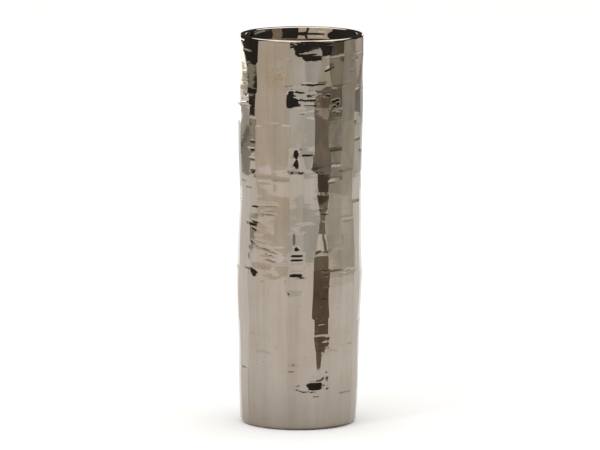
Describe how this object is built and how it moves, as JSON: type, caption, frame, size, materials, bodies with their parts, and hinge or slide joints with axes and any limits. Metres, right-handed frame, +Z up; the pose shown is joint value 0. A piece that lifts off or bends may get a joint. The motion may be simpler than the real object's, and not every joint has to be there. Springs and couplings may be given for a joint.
{
  "type": "vase",
  "caption": "Tall straight-sided vase with a hand-cut faceted wall in a silvery mirror glaze, open at the top and standing on small felt dots.",
  "frame": {"origin": "centre of the base, on the axis of the straight bore, at the underside of the felt dots", "axes": "+Z up along the bore and out of the mouth, -Y to the front, +X to the right as seen from the front"},
  "size_m": [0.1315, 0.1296, 0.406],
  "materials": {
    "mirror_glaze": "mirror",
    "felt": "matte"
  },
  "bodies": {
    "root": {"vase_body": "mirror_glaze", "foot_pad_1": "felt", "foot_pad_2": "felt", "foot_pad_3": "felt", "foot_pad_4": "felt"}
  },
  "joints": []
}
